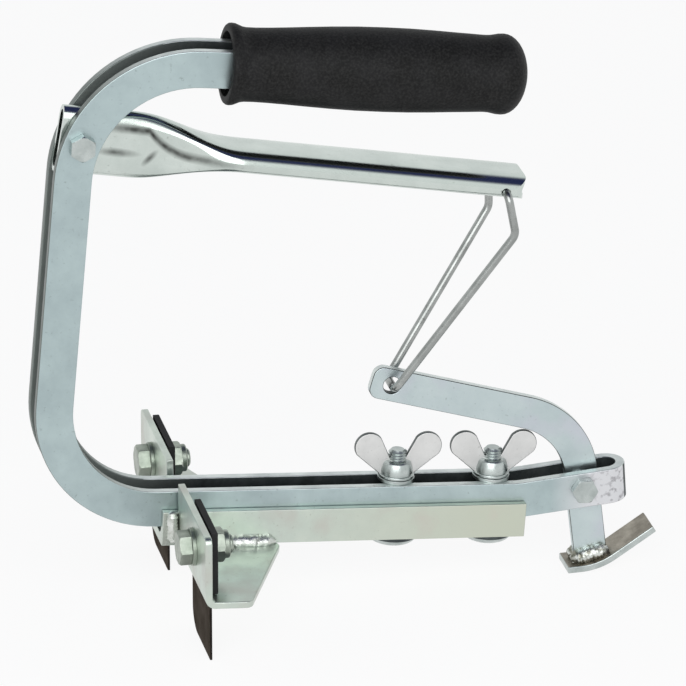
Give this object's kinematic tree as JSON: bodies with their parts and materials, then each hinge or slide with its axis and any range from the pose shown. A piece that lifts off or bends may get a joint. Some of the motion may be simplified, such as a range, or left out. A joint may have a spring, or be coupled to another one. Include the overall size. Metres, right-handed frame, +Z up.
{
  "type": "paving stone gripper",
  "caption": "Hand gripper for paving stones: a bent flat-bar frame with a rubber grip, and a squeeze lever, wire link and crank that close a shoe against sliding jaws.",
  "frame": {"origin": "on the ground, under the middle of the gripper's box, as it stands on its blades and its shoe", "axes": "+X runs from the jaws to the shoe, +Y points away from the heads of the pivot bolts, +Z is up"},
  "size_m": [0.2722, 0.143, 0.2577],
  "materials": {
    "zinc_bar": "zinc plated flat bar",
    "zinc_tube": "bright zinc plated tube",
    "zinc_wire": "zinc plated wire",
    "zinc_sheet": "zinc plated sheet",
    "zinc_shoe": "dull zinc plate",
    "zinc_fastener": "bright zinc",
    "weld_metal": "plated weld bead",
    "blade_steel": "dark oiled steel",
    "grip_rubber": "matt black",
    "pad_rubber": "matt black"
  },
  "bodies": {
    "frame": {"frame_bar": "zinc_bar", "hand_grip": "grip_rubber", "lever_pivot_bolt": "zinc_fastener", "lever_pivot_nut": "zinc_fastener", "crank_pivot_bolt": "zinc_fastener", "crank_pivot_nut": "zinc_fastener", "crank_spacers": "zinc_fastener"},
    "lever": {"squeeze_lever": "zinc_tube"},
    "link": {"wire_link": "zinc_wire"},
    "crank": {"crank_arm": "zinc_bar", "shoe": "zinc_shoe", "shoe_weld": "weld_metal"},
    "jaw_slide": {"jaw_channel": "zinc_sheet", "far_jaw_bracket": "zinc_sheet", "far_bracket_welds": "weld_metal", "far_pad": "pad_rubber", "far_blade": "blade_steel", "far_jaw_washer": "zinc_fastener", "far_jaw_bolt": "zinc_fastener", "far_jaw_nut": "zinc_fastener", "near_jaw_bracket": "zinc_sheet", "near_bracket_welds": "weld_metal", "near_pad": "pad_rubber", "near_blade": "blade_steel", "near_jaw_washer": "zinc_fastener", "near_jaw_bolt": "zinc_fastener", "near_jaw_nut": "zinc_fastener", "left_clamp_bolt": "zinc_fastener", "left_clamp_washer": "zinc_fastener", "right_clamp_bolt": "zinc_fastener", "right_clamp_washer": "zinc_fastener"},
    "left_nut": {"left_wing_nut": "zinc_fastener"},
    "right_nut": {"right_wing_nut": "zinc_fastener"}
  },
  "joints": [
    {"name": "lever_hinge", "type": "hinge", "parent": "frame", "child": "lever", "pos_m": [-0.11629, 0, 0.21149], "axis": [0, -1, 0], "range_deg": [0, 7]},
    {"name": "link_hinge", "type": "hinge", "parent": "lever", "child": "link", "pos_m": [0.06338, 0, 0.1806], "axis": [0, -1, 0], "range_deg": [-1, 1]},
    {"name": "crank_hinge", "type": "hinge", "parent": "frame", "child": "crank", "pos_m": [0.10246, 0, 0.04029], "axis": [0, 1, 0], "range_deg": [0, 13]},
    {"name": "jaw_travel", "type": "slide", "parent": "frame", "child": "jaw_slide", "axis": [0.9985, 0, -0.0556], "range_m": [-0.09, 0]},
    {"name": "left_nut_turn", "type": "hinge", "parent": "jaw_slide", "child": "left_nut", "pos_m": [0.02154, 0, 0.0494], "axis": [0.0556, 0, 0.9985], "continuous": true},
    {"name": "right_nut_turn", "type": "hinge", "parent": "jaw_slide", "child": "right_nut", "pos_m": [0.06348, 0, 0.04706], "axis": [0.0556, 0, 0.9985], "continuous": true}
  ],
  "couplings": [
    {"joint": "link_hinge", "follows": "lever_hinge", "ratio": -0.059},
    {"joint": "crank_hinge", "follows": "lever_hinge", "ratio": 1.815}
  ]
}
